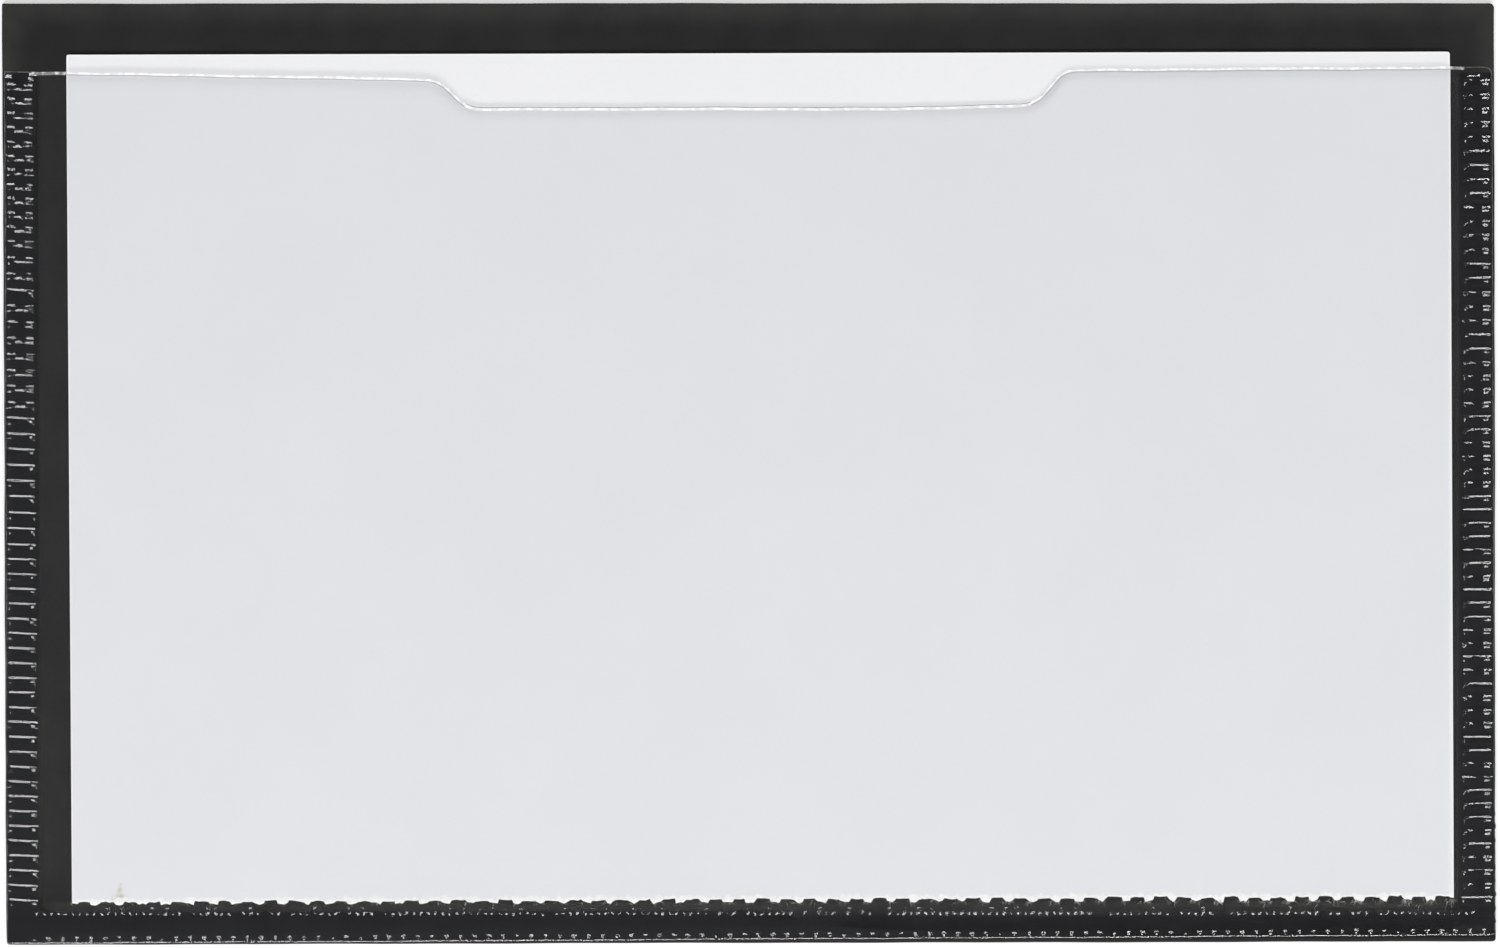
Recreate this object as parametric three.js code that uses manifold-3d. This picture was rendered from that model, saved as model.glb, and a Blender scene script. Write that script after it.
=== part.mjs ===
import * as THREE from "three";
import { mergeVertices } from "three/addons/utils/BufferGeometryUtils.js";
import Module from "manifold-3d";

// Magnetic label holder for a 5 inch card: a flexible magnet sheet, a clear vinyl front
// welded to it along three edges, and a paper card in the pocket between them.
// It lies on its magnetic face. Millimetres, +X along the long side, +Y towards the
// open top edge, +Z out of the clear front, origin under the middle of the sheet.

// Magnet sheet
const SHEET_WIDTH = 136.7;
const SHEET_HEIGHT = 86.2;
const SHEET_THICKNESS = 0.76;
const SHEET_CORNERS = { bottomLeft: 0.35, bottomRight: 0.35, topRight: 0.5, topLeft: 0.15 };

// Card, its height measured from the top edge to the line of the perforation
const CARD_WIDTH = 127;
const CARD_HEIGHT = 77.8;
const CARD_THICKNESS = 0.25;
const CARD_CORNER = 0.3;
const CARD_CENTRE = { x: 1.03, y: -0.29 };
const CARD_TURN_DEG = 0.13;
const TIE_COUNT = 59; // torn ties of a 12 per inch perforation
const TIE_DEPTH = 0.3;
const TIE_SHARE = 0.52; // of the perforation's pitch, at a tie's root
const TIE_TAPER = 0.22; // mm lost on each side of a tie from its root to its torn end

// Clear front, in its own frame, which is turned a little on the sheet
const FRONT_TURN_DEG = 0.18;
const FRONT_WIDTH = 136.4;
const FRONT_TOP = 37.05;
const FRONT_BOTTOM = -42.7;
const FILM_THICKNESS = 0.25;
const FRONT_CORNER = 0.5;
const POCKET_RISE = 0.3; // free height between the sheet and the film
const POCKET_SLOPE = 0.5; // run of the film from the weld up to the pocket

// Thumb notch in the open edge
const NOTCH_TOP_WIDTH = 57.2;
const NOTCH_BOTTOM_WIDTH = 52.2;
const NOTCH_DEPTH = 3.5;
const NOTCH_RADIUS = 0.9;
const LEFT_SHOULDER_DROP = 0.8; // the lip sags towards the notch's left end

// Ribbed weld: pressed troughs with a ridge of full film thickness between them
const WELD_WIDTH = 2.5;
const TROUGH_DEPTH = 0.15;
const TROUGH_WALL = 0.1; // run of a trough's sloping wall
const TROUGH_CORNER = 0.3;
const TROUGH_OUTER_MARGIN = 0.32; // from a trough's outer end to the film's edge
const TROUGH_INNER_MARGIN = 0.05;
const RIDGE_WIDTH = 0.3;
const SIDE_WELD_TOP = 35.9;
const SIDE_WELD_BOTTOM = -39.6;
const LEFT_TROUGHS = 55;
const RIGHT_TROUGHS = 61;
const BOTTOM_TROUGHS = 102;
const BOTTOM_WELD_LEFT = -65.7;
const BOTTOM_WELD_RIGHT = 67.2;

const BEYOND = 5; // how far a cutter runs past the film

const wasm = await Module();
wasm.setup();

// A closed three.js geometry as a manifold-3d solid.
function solidOf(geometry) {
  geometry.deleteAttribute("normal");
  geometry.deleteAttribute("uv");
  const merged = mergeVertices(geometry, 1e-4);
  return new wasm.Manifold(
    new wasm.Mesh({
      numProp: 3,
      vertProperties: merged.attributes.position.array,
      triVerts: new Uint32Array(merged.index.array),
    }),
  );
}

// The other way round, with a normal for each face.
function geometryOf(solid) {
  const mesh = solid.getMesh();
  const geometry = new THREE.BufferGeometry();
  geometry.setAttribute("position", new THREE.BufferAttribute(mesh.vertProperties, 3));
  geometry.setIndex(new THREE.BufferAttribute(mesh.triVerts, 1));
  const faceted = geometry.toNonIndexed();
  faceted.computeVertexNormals();
  return faceted;
}

// A rectangle with a radius of its own at each corner, anticlockwise from the bottom left.
function roundedRectangle(left, bottom, right, top, corners) {
  const { bottomLeft, bottomRight, topRight, topLeft } = corners;
  const shape = new THREE.Shape();
  shape.moveTo(left + bottomLeft, bottom);
  shape.lineTo(right - bottomRight, bottom);
  shape.quadraticCurveTo(right, bottom, right, bottom + bottomRight);
  shape.lineTo(right, top - topRight);
  shape.quadraticCurveTo(right, top, right - topRight, top);
  shape.lineTo(left + topLeft, top);
  shape.quadraticCurveTo(left, top, left, top - topLeft);
  shape.lineTo(left, bottom + bottomLeft);
  shape.quadraticCurveTo(left, bottom, left + bottomLeft, bottom);
  return shape;
}

// A flat piece of even thickness, from z = 0 up.
function slab(shape, thickness, curveSegments = 4) {
  return new THREE.ExtrudeGeometry(shape, { depth: thickness, bevelEnabled: false, curveSegments });
}

function sheetGeometry() {
  const outline = roundedRectangle(
    -SHEET_WIDTH / 2,
    -SHEET_HEIGHT / 2,
    SHEET_WIDTH / 2,
    SHEET_HEIGHT / 2,
    SHEET_CORNERS,
  );
  return slab(outline, SHEET_THICKNESS);
}

// The card's outline: two rounded top corners, and a torn perforation along the bottom.
function cardShape() {
  const half = CARD_WIDTH / 2;
  const top = CARD_HEIGHT / 2;
  const tearLine = -CARD_HEIGHT / 2;
  const pitch = CARD_WIDTH / TIE_COUNT;
  const rootHalf = (pitch * TIE_SHARE) / 2;
  const shape = new THREE.Shape();
  shape.moveTo(-half, tearLine);
  for (let i = 0; i < TIE_COUNT; i++) {
    const middle = -half + (i + 0.5) * pitch;
    shape.lineTo(middle - rootHalf, tearLine);
    shape.lineTo(middle - rootHalf + TIE_TAPER, tearLine - TIE_DEPTH);
    shape.lineTo(middle + rootHalf - TIE_TAPER, tearLine - TIE_DEPTH);
    shape.lineTo(middle + rootHalf, tearLine);
  }
  shape.lineTo(half, tearLine);
  shape.lineTo(half, top - CARD_CORNER);
  shape.quadraticCurveTo(half, top, half - CARD_CORNER, top);
  shape.lineTo(-half + CARD_CORNER, top);
  shape.quadraticCurveTo(-half, top, -half, top - CARD_CORNER);
  shape.lineTo(-half, tearLine);
  return shape;
}

// Draws a line towards a corner and rounds it on the way to the next point.
function lineRoundedAt(shape, corner, next, radius) {
  const into = corner.clone().sub(shape.currentPoint).setLength(radius);
  const out = next.clone().sub(corner).setLength(radius);
  shape.lineTo(corner.x - into.x, corner.y - into.y);
  shape.quadraticCurveTo(corner.x, corner.y, corner.x + out.x, corner.y + out.y);
}

// The clear front's outline: a rectangle with a shallow thumb notch in its open edge.
function frontShape() {
  const half = FRONT_WIDTH / 2;
  const point = (x, y) => new THREE.Vector2(x, y);
  const rightShoulder = point(NOTCH_TOP_WIDTH / 2, FRONT_TOP);
  const notchRight = point(NOTCH_BOTTOM_WIDTH / 2, FRONT_TOP - NOTCH_DEPTH);
  const notchLeft = point(-NOTCH_BOTTOM_WIDTH / 2, FRONT_TOP - NOTCH_DEPTH);
  const leftShoulder = point(-NOTCH_TOP_WIDTH / 2, FRONT_TOP - LEFT_SHOULDER_DROP);
  const topLeft = point(-half, FRONT_TOP);
  const shape = new THREE.Shape();
  shape.moveTo(-half, FRONT_BOTTOM);
  shape.lineTo(half, FRONT_BOTTOM);
  shape.lineTo(half, FRONT_TOP - FRONT_CORNER);
  shape.quadraticCurveTo(half, FRONT_TOP, half - FRONT_CORNER, FRONT_TOP);
  lineRoundedAt(shape, rightShoulder, notchRight, NOTCH_RADIUS);
  lineRoundedAt(shape, notchRight, notchLeft, NOTCH_RADIUS);
  lineRoundedAt(shape, notchLeft, leftShoulder, NOTCH_RADIUS);
  lineRoundedAt(shape, leftShoulder, topLeft, NOTCH_RADIUS);
  shape.lineTo(topLeft.x, topLeft.y);
  shape.lineTo(-half, FRONT_BOTTOM);
  return shape;
}

// A block whose top narrows over the pocket's slope, with its flat top at the given height.
function pocketBlock(topHeight) {
  const inner = FRONT_WIDTH / 2 - WELD_WIDTH;
  const outline = new THREE.Shape();
  outline.moveTo(-inner, FRONT_BOTTOM + WELD_WIDTH);
  outline.lineTo(inner, FRONT_BOTTOM + WELD_WIDTH);
  outline.lineTo(inner, FRONT_TOP + BEYOND);
  outline.lineTo(-inner, FRONT_TOP + BEYOND);
  const block = new THREE.ExtrudeGeometry(outline, {
    depth: BEYOND,
    bevelThickness: POCKET_RISE,
    bevelSize: POCKET_SLOPE,
    bevelOffset: -POCKET_SLOPE,
    bevelSegments: 1,
  });
  return block.translate(0, 0, topHeight - POCKET_RISE - BEYOND);
}

// The cutter for one pressed trough, its floor TROUGH_DEPTH under the face of the weld.
function troughCutter(lengthX, lengthY) {
  const corners = {
    bottomLeft: TROUGH_CORNER,
    bottomRight: TROUGH_CORNER,
    topRight: TROUGH_CORNER,
    topLeft: TROUGH_CORNER,
  };
  const outline = roundedRectangle(-lengthX / 2, -lengthY / 2, lengthX / 2, lengthY / 2, corners);
  const cutter = new THREE.ExtrudeGeometry(outline, {
    depth: TROUGH_DEPTH,
    bevelThickness: TROUGH_DEPTH,
    bevelSize: TROUGH_WALL,
    bevelOffset: -TROUGH_WALL,
    bevelSegments: 1,
    curveSegments: 1,
  });
  return solidOf(cutter.translate(0, 0, FILM_THICKNESS));
}

// The troughs of the three welds, as one solid.
function weldTroughs() {
  const across = WELD_WIDTH - TROUGH_OUTER_MARGIN - TROUGH_INNER_MARGIN;
  const sideX = FRONT_WIDTH / 2 - TROUGH_OUTER_MARGIN - across / 2;
  const bottomY = FRONT_BOTTOM + TROUGH_OUTER_MARGIN + across / 2;
  const cutters = [];
  for (const [x, count] of [
    [-sideX, LEFT_TROUGHS],
    [sideX, RIGHT_TROUGHS],
  ]) {
    const pitch = (SIDE_WELD_TOP - SIDE_WELD_BOTTOM) / count;
    const trough = troughCutter(across, pitch - RIDGE_WIDTH);
    for (let i = 0; i < count; i++) {
      cutters.push(trough.translate([x, SIDE_WELD_TOP - (i + 0.5) * pitch, 0]));
    }
  }
  const pitch = (BOTTOM_WELD_RIGHT - BOTTOM_WELD_LEFT) / BOTTOM_TROUGHS;
  const trough = troughCutter(pitch - RIDGE_WIDTH, across);
  for (let i = 0; i < BOTTOM_TROUGHS; i++) {
    cutters.push(trough.translate([BOTTOM_WELD_LEFT + (i + 0.5) * pitch, bottomY, 0]));
  }
  return wasm.Manifold.union(cutters);
}

// The film lies on the sheet along its three welds and stands off it over the pocket.
function frontGeometry() {
  const outline = frontShape();
  const flat = solidOf(slab(outline, FILM_THICKNESS));
  const column = solidOf(slab(outline, BEYOND));
  const raised = solidOf(pocketBlock(POCKET_RISE + FILM_THICKNESS));
  const hollow = solidOf(pocketBlock(POCKET_RISE));
  const film = flat.add(raised.intersect(column)).subtract(hollow);
  return geometryOf(film.subtract(weldTroughs()));
}

function piece(name, geometry, material) {
  const mesh = new THREE.Mesh(geometry, new THREE.MeshStandardMaterial(material));
  mesh.name = name;
  return mesh;
}

const holder = new THREE.Group();

const backing = piece("magnetic_backing", sheetGeometry(), {
  color: 0x2c2d2f,
  roughness: 0.55,
  metalness: 0,
});
holder.add(backing);

const card = piece("label_card", slab(cardShape(), CARD_THICKNESS), {
  color: 0xf2f3f4,
  roughness: 0.85,
  metalness: 0,
});
card.position.set(CARD_CENTRE.x, CARD_CENTRE.y, SHEET_THICKNESS);
card.rotation.z = THREE.MathUtils.degToRad(CARD_TURN_DEG);
holder.add(card);

const front = piece("clear_front", frontGeometry(), {
  color: 0xeef1f4,
  roughness: 0.08,
  metalness: 0,
  transparent: true,
  opacity: 0.25,
});
front.position.z = SHEET_THICKNESS;
front.rotation.z = THREE.MathUtils.degToRad(FRONT_TURN_DEG);
holder.add(front);

export default holder;
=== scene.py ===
"""The looks of a magnetic label holder: a black magnet sheet, a clear vinyl front welded on
along three edges with a ribbed seam, and a torn-off paper card in the pocket.

Lengths are in millimetres, in the frame's axes, and become metres where a mesh is made.
"""
import math

import bpy
import numpy as np
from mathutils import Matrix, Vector
from mathutils.geometry import delaunay_2d_cdt
from mathutils.kdtree import KDTree


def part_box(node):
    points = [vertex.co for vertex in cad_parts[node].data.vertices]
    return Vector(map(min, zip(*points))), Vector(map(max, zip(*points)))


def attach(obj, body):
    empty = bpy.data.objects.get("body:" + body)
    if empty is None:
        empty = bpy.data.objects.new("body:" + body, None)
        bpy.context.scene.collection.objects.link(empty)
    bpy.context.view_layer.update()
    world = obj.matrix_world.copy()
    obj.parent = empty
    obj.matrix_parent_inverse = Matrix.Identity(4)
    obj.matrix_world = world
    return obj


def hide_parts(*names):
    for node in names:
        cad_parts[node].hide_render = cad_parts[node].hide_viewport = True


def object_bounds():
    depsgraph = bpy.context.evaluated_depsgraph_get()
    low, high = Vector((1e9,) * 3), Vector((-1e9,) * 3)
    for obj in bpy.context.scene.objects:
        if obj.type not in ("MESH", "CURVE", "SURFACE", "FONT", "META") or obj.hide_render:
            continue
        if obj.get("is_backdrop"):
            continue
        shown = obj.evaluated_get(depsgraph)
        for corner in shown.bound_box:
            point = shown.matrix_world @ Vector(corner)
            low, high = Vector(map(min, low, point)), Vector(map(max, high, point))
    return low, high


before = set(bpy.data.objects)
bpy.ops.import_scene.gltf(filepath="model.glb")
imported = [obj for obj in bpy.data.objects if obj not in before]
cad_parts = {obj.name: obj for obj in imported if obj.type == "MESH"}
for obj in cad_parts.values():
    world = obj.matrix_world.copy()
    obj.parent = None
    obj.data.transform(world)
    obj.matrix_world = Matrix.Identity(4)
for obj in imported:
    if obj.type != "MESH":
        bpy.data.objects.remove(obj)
cad_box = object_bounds()

MM = 0.001
SEED = 11

# Upper corner of the sheet's solid, and the heights that the solids give
SHEET_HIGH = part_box("magnetic_backing")[1] / MM
SHEET_TOP = SHEET_HIGH.z
CARD_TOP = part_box("label_card")[1].z / MM

# Magnet sheet: its corners, a little out of square, and their rounding
SHEET_CORNERS = ((-68.14, -43.24), (68.45, -42.93), (68.31, 43.12), (-68.54, 43.09))
SHEET_CORNER_RADII = (0.35, 0.35, 0.5, 0.15)
SHEET_EDGE_ROUND = 0.12
SHEET_EDGE_DROP = 0.9  # share of the rounding that each face keeps

# Card, in its own frame
CARD_WIDTH = 126.72
CARD_HEIGHT = 77.62
CARD_CENTRE = (1.02, -0.3)
CARD_TURN = math.radians(0.13)
CARD_CORNER = 0.3
CARD_LEFT_LEAN = math.radians(0.26)
CARD_RIGHT_LEAN = math.radians(0.13)
CARD_BOTTOM_LEAN = math.radians(0.11)
CARD_UNDERSIDE_GAP = 0.005
CARD_RIM_ROUND = (0.04, 0.03)  # its width and its drop
# The brighter rim is a painted highlight along the card's cut edges.
CARD_RIM_HIGHLIGHT = 0.15  # width of the brighter rim
TEAR_HEIGHT = 0.34  # how far up the torn look reaches
TIE_COUNT = 59
WHITE_FACE, TORN, RIM_HIGHLIGHT = range(3)  # the card's material slots

# Loose fibres at the tear: ranges of their widths and of their heights over the sheet
FIBRE_WIDTHS = (0.025, 0.055)
FIBRE_HEIGHTS = (0.08, 0.2)

# Clear film, in its own frame, which is turned a little on the sheet
FILM_TURN = math.radians(0.18)
FILM_SIDE = 68.2
FILM_TOP = 37.05
FILM_BOTTOM = -42.7
FILM_BOTTOM_ENDS = (-42.92, -42.55)
FILM_THICKNESS = 0.25
EDGE_BEAD_PITCH = 1.2377
EDGE_BEVEL = 0.085  # run of the film's cut edge
BOND_DEPTH = 0.003  # the weld melts the film into the face of the sheet

# Open edge of the film, with its thumb notch, from left to right
LEFT_SHOULDER = (-28.3, 36.25)
NOTCH_LEFT = (-25.7, 33.6)
NOTCH_MIDDLE = (13.8, 33.5)
NOTCH_RIGHT = (26.3, 33.85)
RIGHT_SHOULDER = (28.9, 36.95)
NOTCH_RADIUS = 1.3
NOTCH_REACH = 25.9  # the notch's lip runs this far to each side
LIP_LOW = 33.0  # the open edge lies above this height

# Bands of the film beside its open edge, by how far they reach from it
LIP_SHADE = 0.85
# Painted glow and painted dark line: out to these reaches the cut lip is drawn as a glowing line with a
# dark line beside it.
NOTCH_DARK_LINE, NOTCH_GLOW = 0.1, 0.33
LIP_GLOW, LIP_DARK_LINE = 0.22, 0.32
LIP_GLOW_OVER_SHEET = 0.28
LIP_GLOW_ON_WELD = 0.1

# The film's material slots
# The slots for the cut lip take a painted glow, and the one beside it a painted dark line.
CLEAR, BY_LIP, GLOWING_LIP, DARK_LINE_LIP, GLOWING_OVER_SHEET, GLOWING_ON_WELD = range(6)

# Pocket: how far the film stands off the sheet, and more at the open lip
POCKET_RISE = 0.3
SLOPE_WIDTH = 1.3
LOW_SLOPE_WIDTH = 1.0
LIP_REACH = 4.0
LIP_PLACES = (-66, -58, -30, -26, 0, 26, 30, 52, 60, 67)
LIP_LIFTS = (0.05, 0.2, 0.2, 0.08, 0.04, 0.02, 0.0, 0.0, 0.06, 0.03)

# Where the pocket's mesh rows start beside the welds, and the steps between them
POCKET_SIDE = 65.2
POCKET_FLOOR = -40.2
SLOPE_STEP = 0.45
FIELD_STEP = 1.6

# Ribbed weld: where its inner and outer lines run, at the ends of each seam
SIDE_TOP = 36.1
SIDE_BOTTOM = -40.0
LEFT_INNER = (-65.35, -65.05)
RIGHT_INNER = (65.35, 65.0)
SIDE_MARGIN = 0.02
WELD_FROM = 65.6  # past this the open edge lies on the side welds
BOTTOM_INNER = (-40.03, -40.38)
BOTTOM_OUTER = (-42.3, -41.95)
BOTTOM_ENDS = (-65.7, 67.2)
LEFT_TROUGHS = 55
RIGHT_TROUGHS = 61
BOTTOM_TROUGHS = 102

# How far the troughs run ahead of an even pitch: shares of the seam, then the leads there
LEFT_PACE = ((0.0, 0.2, 0.37, 0.55, 1.0), (0.0, -0.0115, 0.0, 0.008, 0.0))
RIGHT_PACE = ((0.0, 0.33, 1.0), (0.0, 0.012, 0.0))
EVEN_PACE = ((0.0, 1.0), (0.0, 0.0))
LEFT_SLANT = -0.052
TROUGH_DEPTH = 0.155
RIDGE_HALF = 0.1
WALL = 0.38
TROUGH_CORNER = 0.34
WELD_ROUGHNESS = 0.003

# Depth of the pressing across each seam, from its inner to its outer line
LEFT_DEPTHS = (1.0, 1.04, 1.13)
RIGHT_DEPTHS = (0.98, 0.96, 1.2)
BOTTOM_DEPTHS = (0.25, 0.75, 0.9)

# Beads of squeezed vinyl in each trough: place along it from its upper wall (or its middle,
# along the bottom), inset from the inner line (or the outer one, where negative), half
# sizes, shear, share of the lit slope. One on a ridge lies below the outer line by its inset.
LEFT_BEADS = (
    (-0.3, 0.62, 0.17, 0.12, 0.0, 1.0),
    (-0.6, 0.3, 0.13, 0.14, -0.5, 0.93),
    (-0.55, -0.32, 0.14, 0.1, 0.0, 0.9),
)
LEFT_UPPER_BEADS = (
    (-0.42, 0.75, 0.42, 0.12, 0.0, 0.97),
    (-0.42, 1.6, 0.5, 0.13, 0.0, 1.0),
)
RIGHT_BEADS = (
    (-0.08, 0.5, 0.2, 0.12, 0.3, 0.9),
    (-0.4, 0.3, 0.13, 0.13, 0.3, 0.92),
    (-0.34, -0.62, 0.27, 0.13, 0.0, 1.0),
)
BOTTOM_BEADS = (
    (-0.37, 0.1, 0.16, 0.17, 0.6, 0.74),
    (0.35, 0.12, 0.13, 0.15, -0.6, 0.68),
)
RIDGE_BEADS = (
    (0.0, -0.1, 0.2, 0.1, 0.0, 0.95),
    (0.0, -0.3, 0.1, 0.1, 0.0, 0.88),
)

# Single beads where the seams end at the open edge
CORNER_BEADS = (
    (-67.75, 36.62, 0.3, 0.17, 0.8, 1.0),
    (-65.6, 36.8, 0.36, 0.19, 0.0, 1.0),
    (-65.72, 36.32, 0.22, 0.15, -0.7, 1.0),
    (66.3, 36.22, 0.3, 0.09, 0.0, 0.95),
    (66.95, 36.3, 0.16, 0.1, 0.4, 0.95),
)

# Tilt of the facets that catch the low lamp, and its change for each millimetre along +Y
LIT_TILT = math.radians(27.2)
LIT_TILT_GAIN = math.radians(0.076)
LIT_SLOPE = math.tan(LIT_TILT)

# Fused rim of the sheet under the weld, in metres: its top side lies past the sheet
WELD_LIFT = 0.01
WELD_REACH = 0.0037
WELD_TOP = (0.0366, 0.0369)  # where it ends, at the open edge
UNDER_TEAR = (-0.0393, -0.0387)  # where the darker band below the card ends

# Stains at the torn edge: centre in metres, radius, share and colour
PAPER_STAINS = (
    ((-0.0577, -0.0392, 0.001), 0.0012, 0.5, (0.60, 0.57, 0.40, 1)),
    ((-0.0577, -0.0388, 0.001), 0.0005, 0.8, (0.40, 0.37, 0.22, 1)),
    ((-0.0577, -0.0382, 0.001), 0.0004, 0.6, (0.45, 0.43, 0.30, 1)),
    ((-0.0576, -0.0377, 0.001), 0.0003, 0.4, (0.50, 0.48, 0.36, 1)),
    ((0.0, -0.0394, 0.001), 0.0022, 0.3, (0.72, 0.70, 0.52, 1)),
)

# Camera
CAMERA_LENS = 120.0
CAMERA_SENSOR = 36.0
CAMERA_WIDTH_SEEN = 137.55
CAMERA_TARGET = (0.06, -0.07)

rng = np.random.default_rng(SEED)


# Plane geometry

def rotated(points, angle, centre=(0.0, 0.0)):
    """Points turned about +Z and moved to a centre."""
    c, s = math.cos(angle), math.sin(angle)
    x = points[:, 0] * c - points[:, 1] * s + centre[0]
    y = points[:, 0] * s + points[:, 1] * c + centre[1]
    return np.column_stack([x, y])


def smooth_step(low, high, value):
    """0 up to low and 1 from high, with an easy curve between."""
    t = np.clip((value - low) / (high - low), 0.0, 1.0)
    return t * t * (3.0 - 2.0 * t)


def rounded_outline(corners, radii, steps=6):
    """A closed outline, anticlockwise, with its own rounding at each corner."""
    corners = [np.array(c, float) for c in corners]
    points = []
    for i, corner in enumerate(corners):
        before, after = corners[i - 1], corners[(i + 1) % len(corners)]
        start = corner + (before - corner) / np.linalg.norm(before - corner) * radii[i]
        end = corner + (after - corner) / np.linalg.norm(after - corner) * radii[i]
        for t in np.linspace(0.0, 1.0, steps if radii[i] > 0 else 1):
            points.append((1 - t) ** 2 * start + 2 * t * (1 - t) * corner + t * t * end)
    return np.array(points)


def divided(outline, spacing):
    """The outline with its sides divided, none of them longer than the spacing."""
    points = []
    for i, start in enumerate(outline):
        end = outline[(i + 1) % len(outline)]
        pieces = max(1, int(math.ceil(np.linalg.norm(end - start) / spacing)))
        points += [start + (end - start) * k / pieces for k in range(pieces)]
    return np.array(points)


def gap_to(line, points, closed=True):
    """How far each point lies from a closely divided line, by the two sides at its nearest point."""
    tree = KDTree(len(line))
    for i, (x, y) in enumerate(line):
        tree.insert((x, y, 0.0), i)
    tree.balance()
    nearest = np.array([tree.find((x, y, 0.0))[1] for x, y in points])
    gap = np.full(len(points), np.inf)
    for step in (-1, 0):
        first = nearest + step
        usable = np.ones(len(points), bool) if closed else (first >= 0) & (first < len(line) - 1)
        start = line[first % len(line)]
        side = line[(first + 1) % len(line)] - start
        share = ((points - start) * side).sum(1) / np.maximum((side * side).sum(1), 1e-12)
        rest = points - start - np.clip(share, 0.0, 1.0)[:, None] * side
        gap = np.where(usable, np.minimum(gap, np.hypot(rest[:, 0], rest[:, 1])), gap)
    return gap


def inside(outline, points):
    """Which points lie inside a closed outline."""
    x, y = points[:, 0], points[:, 1]
    within = np.zeros(len(points), bool)
    for i in range(len(outline)):
        (x0, y0), (x1, y1) = outline[i], outline[(i + 1) % len(outline)]
        if y0 != y1:
            within ^= ((y0 > y) != (y1 > y)) & (x < (x1 - x0) * (y - y0) / (y1 - y0) + x0)
    return within


def ring_inside(outline, distance):
    """The outline's points moved inwards."""
    along = np.roll(outline, -1, 0) - np.roll(outline, 1, 0)
    along /= np.maximum(np.hypot(along[:, 0], along[:, 1]), 1e-9)[:, None]
    return outline + np.column_stack([-along[:, 1], along[:, 0]]) * distance


def steeper(y):
    """How much steeper a facet must be at y than in the middle to catch the low lamp."""
    return np.tan(LIT_TILT + LIT_TILT_GAIN * y) / LIT_SLOPE


def grid(xs, ys):
    """Every pairing of an x with a y, as points."""
    return np.array(np.meshgrid(xs, ys)).reshape(2, -1).T


def wave(values, lengths, amplitude, phase):
    """A slow, uneven wave along a cut edge, made of one sine for each length."""
    total = sum(
        np.sin(values * 2 * math.pi / length + phase * (k + 1.7))
        for k, length in enumerate(lengths)
    )
    return total * amplitude / len(lengths)


# Meshes

def triangulated(outline, points, clearance):
    """Triangles over an outline and the points well inside it, as places and faces."""
    close = gap_to(outline, points) < clearance
    kept = points[inside(outline, points) & ~close]
    every = np.vstack([outline, kept])
    edges = [(i, (i + 1) % len(outline)) for i in range(len(outline))]
    found = delaunay_2d_cdt([Vector(p) for p in every], edges, [], 1, 1e-7)
    places = np.array([tuple(p) for p in found[0]])
    return places, np.array(found[2])


def closed_plate(outline, top_points, bottom_points, top, bottom, clearance):
    """A thin closed body over an outline: its points, then its faces, all outwards."""
    upper, upper_faces = triangulated(outline, top_points, clearance)
    lower, lower_faces = triangulated(outline, bottom_points, clearance)
    count = len(outline)
    points = np.vstack([
        np.column_stack([upper, top(upper)]),
        np.column_stack([lower, bottom(lower)]),
    ])
    faces = upper_faces.tolist()
    faces += (lower_faces[:, ::-1] + len(upper)).tolist()
    for i in range(count):
        j = (i + 1) % count
        faces.append([j, i, i + len(upper), j + len(upper)])
    return points, faces


def new_piece(name, points, faces, materials, slots=None, smooth=True):
    """A piece from points in millimetres. Smooth is one value, or one for each face."""
    mesh = bpy.data.meshes.new(name)
    mesh.from_pydata((np.asarray(points) * MM).tolist(), [], faces)
    for material in materials:
        mesh.materials.append(material)
    if slots is not None:
        mesh.polygons.foreach_set("material_index", slots)
    mesh.polygons.foreach_set("use_smooth", np.broadcast_to(smooth, len(mesh.polygons)).copy())
    mesh.validate()
    piece = bpy.data.objects.new(name, mesh)
    bpy.context.scene.collection.objects.link(piece)
    return piece


# Node tools

class Nodes:
    """Short calls for building a node tree."""

    def __init__(self, tree):
        self.tree = tree

    def add(self, kind, **values):
        node = self.tree.nodes.new(kind)
        for name, value in values.items():
            setattr(node, name, value)
        return node

    def link(self, source, target):
        self.tree.links.new(source, target)

    def put(self, node, name, value):
        """A plain number or colour, or the output that feeds the socket."""
        if isinstance(value, bpy.types.NodeSocket):
            self.link(value, node.inputs[name])
        else:
            node.inputs[name].default_value = value

    def math(self, operation, first, second=0.0):
        node = self.add("ShaderNodeMath", operation=operation)
        self.put(node, 0, first)
        self.put(node, 1, second)
        return node.outputs[0]

    def noise(self, vector, scale, detail=4.0, roughness=0.55):
        node = self.add("ShaderNodeTexNoise")
        self.link(vector, node.inputs["Vector"])
        node.inputs["Scale"].default_value = scale
        node.inputs["Detail"].default_value = detail
        node.inputs["Roughness"].default_value = roughness
        return node.outputs[0]

    def span(self, value, low, high, to_low=0.0, to_high=1.0):
        node = self.add("ShaderNodeMapRange", interpolation_type="SMOOTHSTEP")
        for i, number in enumerate((value, low, high, to_low, to_high)):
            self.put(node, i, number)
        return node.outputs[0]

    def mix(self, share, first, second):
        node = self.add("ShaderNodeMix", data_type="RGBA")
        self.put(node, 0, share)
        self.put(node, 6, first)
        self.put(node, 7, second)
        return node.outputs[2]

    def group(self, tree, **values):
        node = self.add("ShaderNodeGroup", node_tree=tree)
        for name, value in values.items():
            self.put(node, name.replace("_", " "), value)
        return node


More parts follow.
